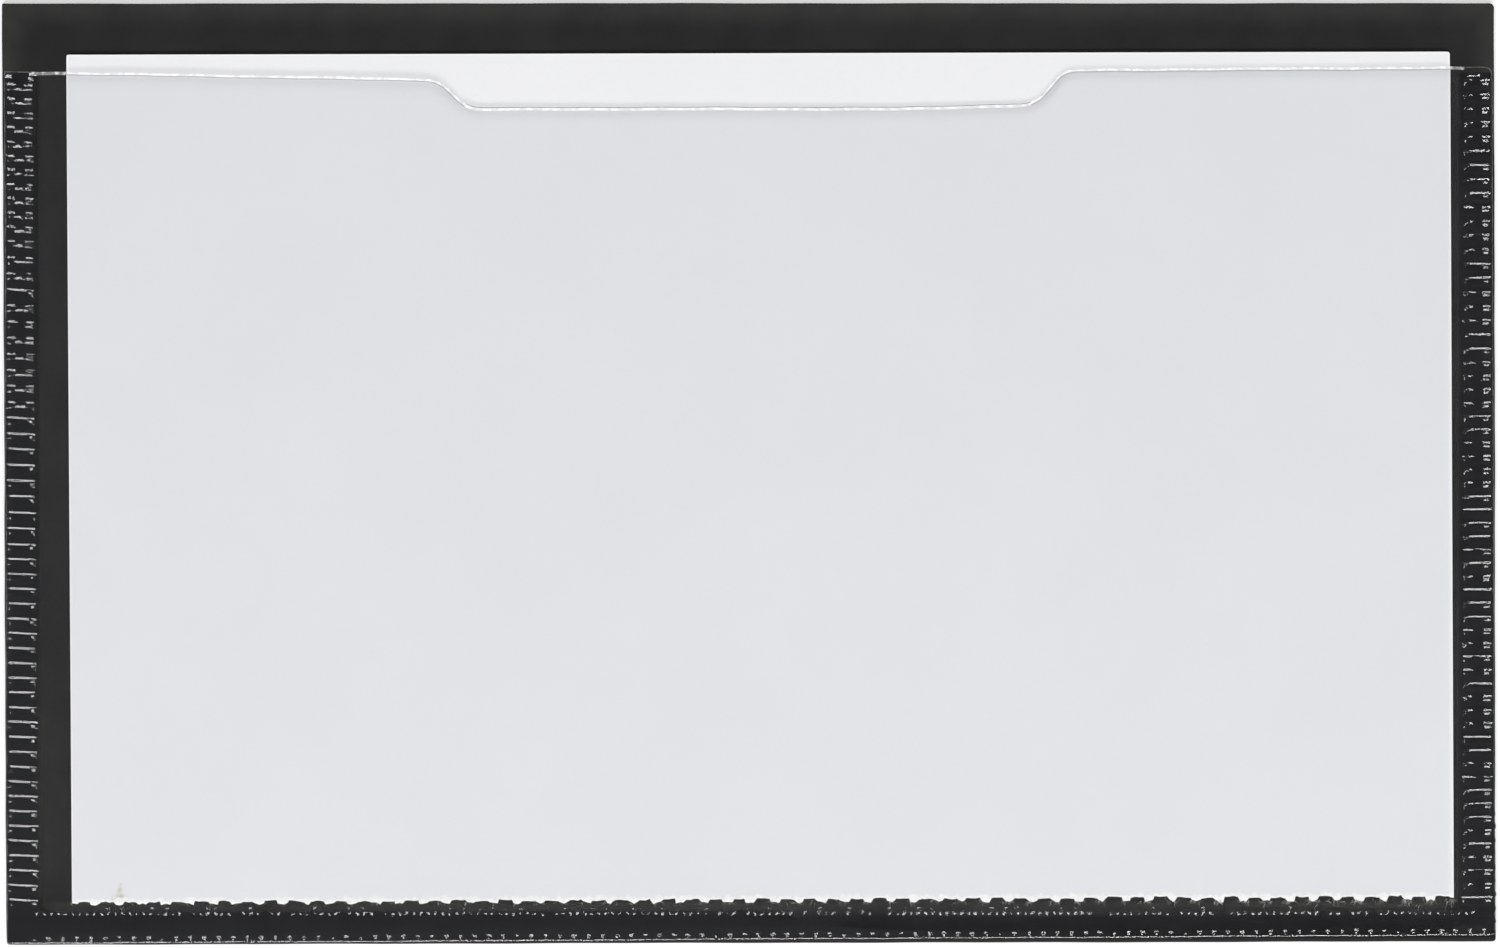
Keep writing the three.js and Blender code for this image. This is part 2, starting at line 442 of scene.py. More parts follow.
def new_group(name, inputs, outputs):
    """A shader node group with named sockets, and its tools, input and output nodes."""
    tree = bpy.data.node_groups.new(name, "ShaderNodeTree")
    for label, kind, value in inputs:
        socket = tree.interface.new_socket(name=label, in_out="INPUT", socket_type=kind)
        if value is not None:
            socket.default_value = value
    for label, kind in outputs:
        tree.interface.new_socket(name=label, in_out="OUTPUT", socket_type=kind)
    tools = Nodes(tree)
    return tree, tools, tools.add("NodeGroupInput"), tools.add("NodeGroupOutput")


def new_material(name):
    """A material with its tools, its shader and the place on the piece."""
    material = bpy.data.materials.new(name)
    material.use_nodes = True
    tree = material.node_tree
    tools = Nodes(tree)
    shader = tree.nodes["Principled BSDF"]
    place = tools.add("ShaderNodeTexCoord").outputs["Object"]
    return material, tools, shader, place


def rim_group():
    """How near a point lies to the rim of a rectangle, 0 inside and 1 at the rim."""
    tree, tools, given, result = new_group(
        "rim_nearness",
        [
            ("Place", "NodeSocketVector", None),
            ("Half width", "NodeSocketFloat", 0.068),
            ("Half height", "NodeSocketFloat", 0.043),
            ("Reach", "NodeSocketFloat", 0.001),
        ],
        [("Mask", "NodeSocketFloat")],
    )
    parts = tools.add("ShaderNodeSeparateXYZ")
    tools.link(given.outputs["Place"], parts.inputs[0])
    masks = []
    for axis, half in ((0, "Half width"), (1, "Half height")):
        distance = tools.math(
            "SUBTRACT", given.outputs[half], tools.math("ABSOLUTE", parts.outputs[axis])
        )
        masks.append(tools.span(distance, 0.0, given.outputs["Reach"], 1.0, 0.0))
    tools.link(tools.math("MAXIMUM", masks[0], masks[1]), result.inputs["Mask"])
    return tree


def spot_group():
    """A soft spot round a point: 1 in the middle, 0 past its radius."""
    tree, tools, given, result = new_group(
        "soft_spot",
        [
            ("Place", "NodeSocketVector", None),
            ("Centre", "NodeSocketVector", (0.0, 0.0, 0.0)),
            ("Radius", "NodeSocketFloat", 0.001),
        ],
        [("Mask", "NodeSocketFloat")],
    )
    gap = tools.add("ShaderNodeVectorMath", operation="DISTANCE")
    tools.link(given.outputs["Place"], gap.inputs[0])
    tools.link(given.outputs["Centre"], gap.inputs[1])
    mask = tools.span(gap.outputs["Value"], 0.0, given.outputs["Radius"], 1.0, 0.0)
    tools.link(mask, result.inputs["Mask"])
    return tree


def grain_group():
    """Fine grain for a bump: a coarse and a fine noise added."""
    tree, tools, given, result = new_group(
        "fine_grain",
        [
            ("Place", "NodeSocketVector", None),
            ("Coarse", "NodeSocketFloat", 900.0),
            ("Fine", "NodeSocketFloat", 4000.0),
        ],
        [("Height", "NodeSocketFloat")],
    )
    heights = []
    for label in ("Coarse", "Fine"):
        node = tools.add("ShaderNodeTexNoise")
        tools.link(given.outputs["Place"], node.inputs["Vector"])
        tools.link(given.outputs[label], node.inputs["Scale"])
        heights.append(node.outputs[0])
    tools.link(tools.math("ADD", heights[0], heights[1]), result.inputs["Height"])
    return tree


RIM = rim_group()
SPOT = spot_group()
GRAIN = grain_group()


def add_grain(tools, shader, place, coarse, fine, strength, distance):
    """Grain on a surface, by way of its normals."""
    bump = tools.add("ShaderNodeBump")
    bump.inputs["Strength"].default_value = strength
    bump.inputs["Distance"].default_value = distance
    grain = tools.group(GRAIN, Place=place, Coarse=coarse, Fine=fine)
    tools.link(grain.outputs["Height"], bump.inputs["Height"])
    tools.link(bump.outputs[0], shader.inputs["Normal"])


# Materials

def magnet_sheet_material():
    """Black vinyl over ferrite: satin grain, paler at the bare top, darker at the tear and weld."""
    material, tools, shader, place = new_material("magnet_sheet_vinyl")
    mottle = tools.noise(place, 220.0, 5.0)
    cloud = tools.noise(place, 28.0, 2.0)
    cool, plain = (0.0112, 0.0114, 0.0128, 1), (0.0138, 0.0138, 0.0140, 1)
    base = tools.mix(tools.span(cloud, 0.35, 0.65), cool, plain)
    base = tools.mix(tools.span(mottle, 0.3, 0.75, 0.0, 0.3), base, (0.020, 0.0197, 0.0192, 1))
    # Paler towards the rims: broadly within 30 mm of each, and in a thin band along the top and sides.
    for lift, reach, share, colour in (
        (0.0, 0.030, 0.5, (0.021, 0.0207, 0.0205, 1)),
        (-0.010, 0.0026, 0.8, (0.036, 0.0352, 0.0335, 1)),
    ):
        rim = rim_mask(tools, place, lift, reach)
        paler_rim = tools.math("MULTIPLY", rim, tools.span(mottle, 0.2, 0.7, share * 0.6, share))
        base = tools.mix(paler_rim, base, colour)
    parts = tools.add("ShaderNodeSeparateXYZ")
    tools.link(place, parts.inputs[0])
    under_tear = tools.span(parts.outputs[1], *UNDER_TEAR, 0.75, 0.0)
    base = tools.mix(under_tear, base, (0.0052, 0.0050, 0.0036, 1))
    below_lip = tools.span(parts.outputs[1], *WELD_TOP, 1.0, 0.0)
    tilted = tools.math("SUBTRACT", parts.outputs[1], tools.math("MULTIPLY", parts.outputs[0], FILM_TURN))
    above_edge = tools.span(tilted, FILM_BOTTOM * MM - 0.0001, FILM_BOTTOM * MM, 0.0, 1.0)
    weld = tools.span(rim_mask(tools, place, WELD_LIFT, WELD_REACH), 0.0, 0.1)
    weld = tools.math("MULTIPLY", tools.math("MULTIPLY", weld, below_lip), above_edge)
    base = tools.mix(above_edge, (0.016, 0.016, 0.017, 1), base)
    base = tools.mix(weld, base, (0.0068, 0.0069, 0.0078, 1))
    tools.link(base, shader.inputs["Base Color"])
    tools.link(tools.span(mottle, 0.2, 0.8, 0.42, 0.58), shader.inputs["Roughness"])
    shader.inputs["Specular IOR Level"].default_value = 0.25
    add_grain(tools, shader, place, 1400.0, 6000.0, 0.35, 0.00002)
    return material


def rim_mask(tools, place, lift, reach):
    """Nearness to the sheet's rim, with the rim's top side moved up by the lift, in metres."""
    moved = tools.add("ShaderNodeVectorMath", operation="SUBTRACT")
    tools.link(place, moved.inputs[0])
    moved.inputs[1].default_value = (0.0, lift, 0.0)
    rim = tools.group(
        RIM,
        Place=moved.outputs[0],
        Half_width=SHEET_HIGH.x * MM,
        Half_height=SHEET_HIGH.y * MM + abs(lift),
        Reach=reach,
    )
    return rim.outputs["Mask"]


def paper_material():
    """Uncoated white card, with faint fibres and a small tea-coloured stain at the tear."""
    material, tools, shader, place = new_material("white_card")
    fibres = tools.noise(place, 1500.0, 6.0, 0.7)
    cloud = tools.noise(place, 60.0, 3.0)
    base = tools.mix(tools.span(cloud, 0.3, 0.7), (0.792, 0.797, 0.810, 1), (0.808, 0.811, 0.820, 1))
    base = tools.mix(tools.span(fibres, 0.3, 0.7, 0.0, 0.25), base, (0.762, 0.767, 0.780, 1))
    for centre, radius, share, colour in PAPER_STAINS:
        spot = tools.group(SPOT, Place=place, Centre=centre, Radius=radius)
        ragged = tools.math("MULTIPLY", spot.outputs["Mask"], tools.span(fibres, 0.3, 0.6, 0.3, 1.0))
        base = tools.mix(tools.math("MULTIPLY", ragged, share), base, colour)
    tools.link(base, shader.inputs["Base Color"])
    shader.inputs["Roughness"].default_value = 0.88
    shader.inputs["Specular IOR Level"].default_value = 0.25
    add_grain(tools, shader, place, 1800.0, 7000.0, 0.25, 0.00002)
    return material


def rim_highlight_material():
    """The card's cut rim, with a painted highlight: a brighter white where the edge catches the light."""
    material, tools, shader, place = new_material("card_rim_painted_highlight")
    fibres = tools.noise(place, 1500.0, 4.0)
    base = tools.mix(tools.span(fibres, 0.3, 0.7), (0.88, 0.883, 0.886, 1), (0.91, 0.91, 0.91, 1))
    tools.link(base, shader.inputs["Base Color"])
    shader.inputs["Roughness"].default_value = 0.85
    return material


def torn_paper_material():
    """The card's inside where it tore: softer and a little warmer than its face."""
    material, tools, shader, place = new_material("torn_card")
    fibres = tools.noise(place, 2500.0, 6.0, 0.7)
    base = tools.mix(tools.span(fibres, 0.3, 0.7), (0.84, 0.84, 0.82, 1), (0.93, 0.93, 0.915, 1))
    tools.link(base, shader.inputs["Base Color"])
    shader.inputs["Roughness"].default_value = 0.95
    add_grain(tools, shader, place, 2500.0, 9000.0, 0.5, 0.00003)
    return material


def loose_fibre_material():
    """Thin fibres at the tear, grey where the black sheet shows through them."""
    material, tools, shader, place = new_material("loose_fibres")
    mottle = tools.noise(place, 1800.0, 3.0)
    base = tools.mix(tools.span(mottle, 0.35, 0.65), (0.16, 0.158, 0.13, 1), (0.6, 0.595, 0.55, 1))
    tools.link(base, shader.inputs["Base Color"])
    shader.inputs["Roughness"].default_value = 0.9
    return material


def clear_film_material(name, tint, shade):
    """Clear vinyl: it bends what is behind it, and lamps shine through it."""
    material, tools, shader, place = new_material(name)
    shader.inputs["Base Color"].default_value = tint
    shader.inputs["Roughness"].default_value = 0.12
    shader.inputs["IOR"].default_value = 1.5
    shader.inputs["Transmission Weight"].default_value = 1.0
    bump = tools.add("ShaderNodeBump")
    bump.inputs["Strength"].default_value = 0.12
    bump.inputs["Distance"].default_value = 0.00001
    tools.link(tools.noise(place, 1200.0, 3.0), bump.inputs["Height"])
    tools.link(bump.outputs[0], shader.inputs["Normal"])
    pass_lamps(tools, material, shader, shade)
    return material


def pass_lamps(tools, material, shader, shade):
    """Lets light from the lamps through to what lies behind, in the given shade."""
    through = tools.add("ShaderNodeBsdfTransparent")
    through.inputs["Color"].default_value = shade
    path = tools.add("ShaderNodeLightPath")
    surface = shader.outputs[0]
    for ray in ("Is Diffuse Ray", "Is Shadow Ray"):
        mixer = tools.add("ShaderNodeMixShader")
        tools.link(path.outputs[ray], mixer.inputs[0])
        tools.link(surface, mixer.inputs[1])
        tools.link(through.outputs[0], mixer.inputs[2])
        surface = mixer.outputs[0]
    tools.link(surface, material.node_tree.nodes["Material Output"].inputs["Surface"])


def glowing_edge_material(name, dim, bright, alpha):
    """The film's cut lip, with a painted glow: uneven emission stands in for the light that travels in
    the film and shows at its cut edge.
    """
    material, tools, shader, place = new_material(name)
    shader.inputs["Base Color"].default_value = (0.3, 0.3, 0.3, 1)
    shader.inputs["Roughness"].default_value = 0.3
    uneven = tools.span(tools.noise(place, 1600.0, 2.0), 0.38, 0.62)
    glow = tools.mix(uneven, (dim, dim, dim, 1), (bright, bright, bright, 1))
    tools.link(glow, shader.inputs["Emission Color"])
    shader.inputs["Emission Strength"].default_value = 1.0
    shader.inputs["Alpha"].default_value = alpha
    pass_lamps(tools, material, shader, (0.93, 0.93, 0.93, 1))
    return material


def floor_material():
    """A plain white ground that keeps the holder's shadow."""
    material, tools, shader, _ = new_material("white_ground")
    shader.inputs["Base Color"].default_value = (0.80, 0.80, 0.80, 1)
    shader.inputs["Roughness"].default_value = 0.9
    shader.inputs["Specular IOR Level"].default_value = 0.0
    path = tools.add("ShaderNodeLightPath")
    seen = tools.math("MAXIMUM", path.outputs["Is Camera Ray"], path.outputs["Is Transmission Ray"])
    glow = tools.math("MULTIPLY", seen, 0.27)
    shader.inputs["Emission Color"].default_value = (1, 1, 1, 1)
    tools.link(glow, shader.inputs["Emission Strength"])
    return material


# Magnet sheet

def make_magnet_sheet():
    """A flat sheet with slightly waved sides and softened edges."""
    outline = divided(rounded_outline(SHEET_CORNERS, SHEET_CORNER_RADII), 1.2)
    waved = outline.copy()
    waved[:, 0] += wave(outline[:, 1], (61.0, 23.0, 9.0), 0.035, 0.4) * (np.abs(outline[:, 0]) > 60)
    waved[:, 1] += wave(outline[:, 0], (97.0, 31.0, 11.0), 0.035, 1.3) * (np.abs(outline[:, 1]) > 40)
    rings = [ring_inside(waved, d) for d in (0.02, 0.05, 0.09, 0.14)]
    field = grid(np.linspace(-66, 66, 45), np.linspace(-41, 41, 29))

    def edge_drop(points):
        reach = np.clip(1.0 - gap_to(waved, points) / SHEET_EDGE_ROUND, 0.0, 1.0)
        return SHEET_EDGE_ROUND * (1.0 - np.sqrt(1.0 - reach**2))

    points, faces = closed_plate(
        waved,
        np.vstack(rings + [field]),
        np.vstack(rings + [field]),
        lambda p: SHEET_TOP - edge_drop(p) * SHEET_EDGE_DROP,
        lambda p: edge_drop(p) * SHEET_EDGE_DROP,
        0.015,
    )
    return new_piece("magnet_sheet", points, faces, [magnet_sheet_material()])


# Card

def torn_edge():
    """The card's bottom edge from left to right: torn ties with clean cut slits between."""
    pitch = CARD_WIDTH / TIE_COUNT
    base = -CARD_HEIGHT / 2
    points = []
    for i in range(TIE_COUNT):
        left = -CARD_WIDTH / 2 + i * pitch
        slit = pitch * rng.uniform(0.44, 0.58)
        middle = left + pitch * 0.5 + rng.normal(0, 0.03)
        lift = rng.uniform(0.02, 0.16)
        reach = 0.2 + 0.2 * i / TIE_COUNT
        if i > 0:
            points.append((left + 0.02, base - rng.uniform(0.4, 1.0) * reach))
        points.append((middle - slit / 2 - rng.uniform(0.08, 0.3), base - rng.uniform(0.1, 1.0) * reach))
        points.append((middle - slit / 2 - rng.uniform(0.0, 0.06), base + lift - 0.03))
        points.append((middle - slit / 2 + 0.05, base + lift))
        points.append((middle + slit / 2 - 0.05, base + lift))
        points.append((middle + slit / 2 + rng.uniform(0.0, 0.06), base + lift - 0.03))
        points.append((middle + slit / 2 + rng.uniform(0.08, 0.3), base - rng.uniform(0.1, 1.0) * reach))
    return points


def make_card():
    """The card, with its cut rim on three sides and its torn ties along the bottom."""
    half, top = CARD_WIDTH / 2, CARD_HEIGHT / 2
    bottom = [(-half, -top - 0.05)] + torn_edge() + [(half, -top - 0.12)]
    corner = rounded_outline(
        [(half, -top), (half, top), (-half, top), (-half, -top)],
        (0.0, CARD_CORNER, CARD_CORNER * 0.7, 0.0),
    )[1:-1]
    outline = divided(np.array(bottom + [tuple(p) for p in corner]), 0.5)
    x, y = outline[:, 0].copy(), outline[:, 1].copy()
    outline[:, 0] -= math.tan(CARD_LEFT_LEAN) * y * (0.5 - x / CARD_WIDTH)
    outline[:, 0] -= math.tan(CARD_RIGHT_LEAN) * y * (0.5 + x / CARD_WIDTH)
    lean = math.tan(CARD_BOTTOM_LEAN) * x * (0.5 - y / CARD_HEIGHT)
    jagged = outline[:, 1] < -top + 0.3
    outline[jagged, 1] += rng.normal(0, 0.035, jagged.sum())
    outline[:, 1] += lean
    rings = [ring_inside(outline, d) for d in (0.04, 0.16)]
    edge_rows = grid(np.arange(-half + 0.2, half, 0.22), -top + np.arange(0.2, 1.1, 0.18))
    edge_rows = edge_rows + rng.normal(0, 0.03, edge_rows.shape)
    field = grid(np.linspace(-half + 0.6, half - 0.6, 60), np.linspace(-top + 1.2, top - 0.5, 36))
    thickness = CARD_TOP - SHEET_TOP

    def thinning(points):
        """The torn ties split through their thickness and lie lower towards their ends."""
        depth = points[:, 1] - math.tan(CARD_BOTTOM_LEAN) * points[:, 0]
        return smooth_step(-top + 0.05, -top - 0.4, depth) * 0.12

    def rounding(points):
        width, drop = CARD_RIM_ROUND
        return np.clip(1.0 - gap_to(outline, points) / width, 0.0, 1.0) * drop

    points, faces = closed_plate(
        outline,
        np.vstack(rings + [edge_rows, field]),
        grid(np.linspace(-half + 1, half - 1, 12), np.linspace(-top + 1, top - 1, 8)),
        lambda p: SHEET_TOP + thickness - thinning(p) - rounding(p),
        lambda p: np.full(len(p), SHEET_TOP + CARD_UNDERSIDE_GAP),
        0.02,
    )
    middles = np.array([points[list(f)].mean(0) for f in faces])
    ragged = TEAR_HEIGHT + wave(middles[:, 0], (7.3, 2.9, 1.3, 0.7), 0.3, 0.9)
    # Painted highlight: the faces along the cut rim take the brighter white.
    slots = np.where(gap_to(outline, middles[:, :2]) < CARD_RIM_HIGHLIGHT, RIM_HIGHLIGHT, WHITE_FACE)
    slots[middles[:, 1] < -top + ragged + math.tan(CARD_BOTTOM_LEAN) * middles[:, 0]] = TORN
    points[:, :2] = rotated(points[:, :2], CARD_TURN, CARD_CENTRE)
    materials = [paper_material(), torn_paper_material(), rim_highlight_material()]
    return new_piece("card", points, faces, materials, slots, smooth=False)


def fibre(start, heading, length, width, height):
    """One torn paper fibre: a flat, tapering, slightly bent sliver, as points and faces."""
    steps = 4
    points, faces = [], []
    bend = rng.normal(0, 0.5)
    for k in range(steps + 1):
        t = k / steps
        angle = heading + bend * t
        middle = start + length * t * np.array([math.cos(angle), math.sin(angle)])
        side = np.array([-math.sin(angle), math.cos(angle)]) * width * (1 - 0.75 * t) / 2
        z = height - 0.04 * t
        points += [(*(middle + side), z), (*(middle - side), z), (*middle, z + width * 0.4)]
    for k in range(steps):
        a, b = 3 * k, 3 * k + 3
        faces += [(a + 2, b + 2, b, a), (a + 1, b + 1, b + 2, a + 2), (a, b, b + 1, a + 1)]
    end = 3 * steps
    return points, faces + [(0, 1, 2), (end, end + 2, end + 1)]


def make_torn_fibres():
    """Loose fibres along the torn ties, more of them at the right."""
    pitch = CARD_WIDTH / TIE_COUNT
    points, faces = [], []
    for i in range(TIE_COUNT + 1):
        x = -CARD_WIDTH / 2 + i * pitch
        share = i / TIE_COUNT
        count = 4 + int(16 * share**2)
        for _ in range(count):
            start = np.array([
                np.clip(x + rng.normal(0, 0.32), -CARD_WIDTH / 2 + 0.1, CARD_WIDTH / 2 - 0.1),
                -CARD_HEIGHT / 2 - rng.uniform(0.0, 0.25),
            ])
            heading = -math.pi / 2 + rng.normal(0, 0.7)
            more, their_faces = fibre(
                start,
                heading,
                rng.uniform(0.12, 0.3 + 0.4 * share),
                rng.uniform(*FIBRE_WIDTHS),
                SHEET_TOP + rng.uniform(*FIBRE_HEIGHTS),
            )
            faces += [tuple(v + len(points) for v in f) for f in their_faces]
            points += more
    points = np.array(points)
    points[:, :2] = rotated(points[:, :2], CARD_TURN, CARD_CENTRE)
    return new_piece("card_torn_fibres", points, faces, [loose_fibre_material()])


# Clear front

class Seam:
    """One ribbed weld. Along it lies s, and across it t, from its inner to its outer line."""

    def __init__(self, axis, ends, count, pace, inner, outer, depths, slant=0.0):
        """The bounds are the ridges between troughs. Each trough has its own small errors."""
        self.axis = axis
        self.start, self.end = ends
        share = np.linspace(0.0, 1.0, count + 1)
        self.bounds = self.start + (self.end - self.start) * (share + np.interp(share, *pace))
        self.count, self.inner, self.outer = count, inner, outer
        self.depths, self.slant = depths, slant
        self.depth = TROUGH_DEPTH * rng.uniform(0.96, 1.05, count)
        self.shift = rng.normal(0, 0.02, count)
        self.inner_shift = rng.normal(0, 0.04, count)
        self.outer_shift = rng.normal(0, 0.02, count)
        self.skew = slant + rng.normal(0, 0.008, count)
        self.phase = rng.uniform(0, 6.3, 4)

    def lines(self, s):
        """Where the inner and outer lines cross the seam's axis at s."""
        share = (s - self.start) / (self.end - self.start)
        inner = self.inner[0] + (self.inner[1] - self.inner[0]) * share
        outer = self.outer[0] + (self.outer[1] - self.outer[0]) * share
        return inner, outer

    def pressed(self, points):
        """How deep the weld is pressed at each point."""
        s, t = points[:, self.axis], points[:, 1 - self.axis]
        way = 1.0 if self.end > self.start else -1.0
        inner, outer = self.lines(s)
        middle_line = (inner + outer) / 2
        level = s - self.slant * (t - middle_line)
        cell = np.searchsorted(self.bounds * way, level * way) - 1
        within = (cell >= 0) & (cell < self.count)
        cell = np.clip(cell, 0, self.count - 1)
        inner = inner + self.inner_shift[cell] * np.sign(outer - inner)
        outer = outer + self.outer_shift[cell]
        middle = (self.bounds[cell] + self.bounds[cell + 1]) / 2 + self.shift[cell]
        middle = middle + self.skew[cell] * (t - middle_line)
        half_s = np.abs(self.bounds[cell + 1] - self.bounds[cell]) / 2 - RIDGE_HALF
        half_t = np.abs(outer - inner) / 2
        away_s = np.abs(s - middle) - (half_s - TROUGH_CORNER)
        away_t = np.abs(t - (inner + outer) / 2) - (half_t - TROUGH_CORNER)
        gap = np.hypot(np.maximum(away_s, 0), np.maximum(away_t, 0))
        gap += np.minimum(np.maximum(away_s, away_t), 0) - TROUGH_CORNER
        uneven = WELD_ROUGHNESS * (
            np.sin(s * 9.1 + 2.0 * np.sin(t * 3.7 + self.phase[0]) + self.phase[1])
            + np.sin(t * 11.3 + 2.5 * np.sin(s * 2.9 + self.phase[2]) + self.phase[3])
        )
        across = np.clip((t - inner) / (outer - inner), 0.0, 1.0)
        depth = self.depth[cell] * np.interp(across, (0.0, 0.55, 0.85), self.depths)
        return (depth + uneven) * smooth_step(0.0, WALL, -gap) * within * steeper(points[:, 1])

    def beads(self, kinds, at_ridges=False, above=-100.0, missing=0.1):
        """The beads of the given kinds in every trough, or on every ridge."""
        found = []
        for i in range(self.count + (1 if at_ridges else 0)):
            j = min(i + 1, self.count)
            middle = self.bounds[i] if at_ridges else (self.bounds[i] + self.bounds[j]) / 2
            half = abs(self.bounds[j] - self.bounds[j - 1]) / 2 - RIDGE_HALF - WALL / 2
            for along, inset, half_x, half_y, shear, slope in kinds:
                if rng.uniform() < missing or middle < above:
                    continue
                s = middle + along + (half if self.axis == 1 else 0.0) + rng.normal(0, 0.02)
                inner, outer = self.lines(s)
                way = math.copysign(1.0, outer - inner)
                if at_ridges:
                    t = outer + inset
                else:
                    t = (inner if inset > 0 else outer) + way * inset
                t += rng.normal(0, 0.025)
                if self.axis == 1:
                    s += self.slant * (t - (inner + outer) / 2)
                place = (s, t) if self.axis == 0 else (t, s)
                grow = rng.uniform(0.8, 1.2)
                lit = slope * rng.uniform(0.92, 1.06)
                found.append((*place, half_x * grow, half_y * (0.5 + 0.5 * grow), shear, lit))
        return found

    def samples(self):
        """Mesh points over the weld, close together on the troughs' walls."""
        along = []
        for low, high in zip(self.bounds[:-1], self.bounds[1:]):
            pitch = high - low
            away = np.array([0.0, 0.1, 0.18, 0.26, 0.34, 0.43, 0.54]) * np.sign(pitch)
            along += [low + away, high - away[:0:-1]]
        along = np.concatenate(along)
        inner, outer = self.lines(along)
        width = np.abs(outer - inner)
        rows = [(away, 0.0) for away in (-0.12, 0.02, 0.12, 0.22, 0.34, 0.6, 0.95)]
        rows += [(-away, 1.0) for away in (-0.12, 0.02, 0.12, 0.22, 0.34, 0.6, 0.9)]
        points = []
        for away, side in rows:
            t = inner + np.sign(outer - inner) * (away + side * width)
            slanted = along + self.slant * (t - (inner + outer) / 2)
            pair = (slanted, t) if self.axis == 0 else (t, slanted)
            points.append(np.column_stack(pair))
        return np.vstack(points)


class Beads:
    """Small wedges of vinyl on the film, each with one facet that catches the low lamp."""

    CREST = 0.8  # where the lit facet ends, in half heights from the bead's middle
    FOOT = 1.2  # where the steep side behind it ends

    def __init__(self, rows):
        self.rows = np.array(rows)
        self.tree = KDTree(len(rows))
        for i, row in enumerate(rows):
            self.tree.insert((row[0], row[1], 0.0), i)
        self.tree.balance()

    def under(self, points):
        """Each point that lies on a bead: its number, the bead, and its place over the bead."""
        for k, (x, y) in enumerate(points):
            for _, i, gap in self.tree.find_n((x, y, 0.0), 4):
                if gap > 1.0:
                    break
                x0, y0, half_x, half_y, shear, _ = self.rows[i]
                v = (y - y0) / half_y
                u = abs(x - x0 - shear * (y - y0)) / half_x
                if u < 1.3 and -1.0 < v < self.FOOT:
                    yield k, i, u, v

    def height(self, points):
        """How high the beads stand over the film at each point."""
        total = np.zeros(len(points))
        fall = (self.CREST + 1.0) / (self.FOOT - self.CREST)
        for k, i, u, v in self.under(points):
            rise = min(v + 1.0, fall * (self.FOOT - v))
            side = min(1.0, (1.3 - u) / 0.5)
            total[k] += rise * side * self.rows[i, 3] * self.rows[i, 5] * LIT_SLOPE
        return total * steeper(points[:, 1])

    def cover(self, points):
        """Which points lie on a bead."""
        covered = np.zeros(len(points), bool)
        covered[[k for k, _, _, _ in self.under(points)]] = True
        return covered

    def samples(self):
        """Mesh points over every bead, on the lines where its facets meet."""
        across = np.array([-1.3, -0.8, -0.27, 0.27, 0.8, 1.3])
        along = np.array([-1.0, -0.55, -0.1, 0.35, self.CREST, self.FOOT])
        points = []
        for x0, y0, half_x, half_y, shear, _ in self.rows:
            own = grid(across * half_x, along * half_y)
            points.append(own + np.column_stack([x0 + shear * own[:, 1], np.full(len(own), y0)]))
        return np.vstack(points)


def film_outline():
    """The film's outline, with small beads of squeezed-out vinyl down its right side."""
    corners = [
        (-FILM_SIDE, FILM_BOTTOM_ENDS[0]),
        (FILM_SIDE, FILM_BOTTOM_ENDS[1]),
        (FILM_SIDE, FILM_TOP),
        RIGHT_SHOULDER,
        NOTCH_RIGHT,
        NOTCH_MIDDLE,
        NOTCH_LEFT,
        LEFT_SHOULDER,
        (-FILM_SIDE, FILM_TOP),
    ]
    radii = (0.3, 0.35, 0.8, NOTCH_RADIUS, NOTCH_RADIUS, 0, NOTCH_RADIUS, NOTCH_RADIUS, 0.15)
    outline = divided(rounded_outline(corners, radii), 0.22)
    x, y = outline[:, 0].copy(), outline[:, 1].copy()
    right = (x > FILM_SIDE - 0.2) & (y < 36)
    left = (x < -FILM_SIDE + 0.2) & (y < 36)
    low = y < FILM_BOTTOM + 0.25
    beading = smooth_step(-26, -34, y) * 0.1 + 0.05
    bead = np.abs(np.sin((y - SIDE_TOP) * math.pi / EDGE_BEAD_PITCH)) ** 1.5
    outline[right, 0] += (bead * beading * rng.uniform(0.4, 1.2, len(x)))[right]
    outline[left, 0] += wave(y, (31.0, 7.0, 2.9), 0.04, 2.0)[left]
    outline[low, 1] += wave(x, (61.0, 23.0, 9.0), 0.04, 0.7)[low]
    lip = (y > LIP_LOW) & (np.abs(x) < 66)
    outline[lip, 1] += wave(x, (53.0, 17.0, 6.0), 0.05, 1.1)[lip]
    return outline


def lip_line(outline):
    """The stretch of the outline along the open edge."""
    return outline[(outline[:, 1] > LIP_LOW) & (np.abs(outline[:, 0]) < FILM_SIDE - 0.05)]


def lip_slots(from_lip, x, upper):
    """Which material each face near the open edge takes, by its distance from that edge."""
    slots = np.full(len(x), CLEAR)
    in_notch = np.abs(x) < NOTCH_REACH
    bare = (x < CARD_CENTRE[0] - CARD_WIDTH / 2) | (x > CARD_CENTRE[0] + CARD_WIDTH / 2)
    slots[(from_lip > NOTCH_GLOW) & (from_lip < LIP_SHADE)] = BY_LIP
    # Painted glow along the cut lip: in the notch, on the shoulders, over the bare sheet and on the
    # welds.
    slots[(from_lip < NOTCH_GLOW) & in_notch] = GLOWING_LIP
    # Painted dark line beside the glowing lip.
    slots[(from_lip < NOTCH_DARK_LINE) & in_notch] = DARK_LINE_LIP
    slots[(from_lip < LIP_DARK_LINE) & ~in_notch] = DARK_LINE_LIP
    slots[(from_lip < LIP_GLOW) & ~in_notch] = GLOWING_LIP
    slots[(from_lip < LIP_GLOW_OVER_SHEET) & bare] = GLOWING_OVER_SHEET
    slots[(from_lip > LIP_GLOW_OVER_SHEET) & bare] = CLEAR
    on_weld = np.abs(x) > WELD_FROM
    slots[on_weld | ~upper] = CLEAR
    slots[on_weld & (from_lip < LIP_GLOW_ON_WELD) & upper] = GLOWING_ON_WELD
    return slots


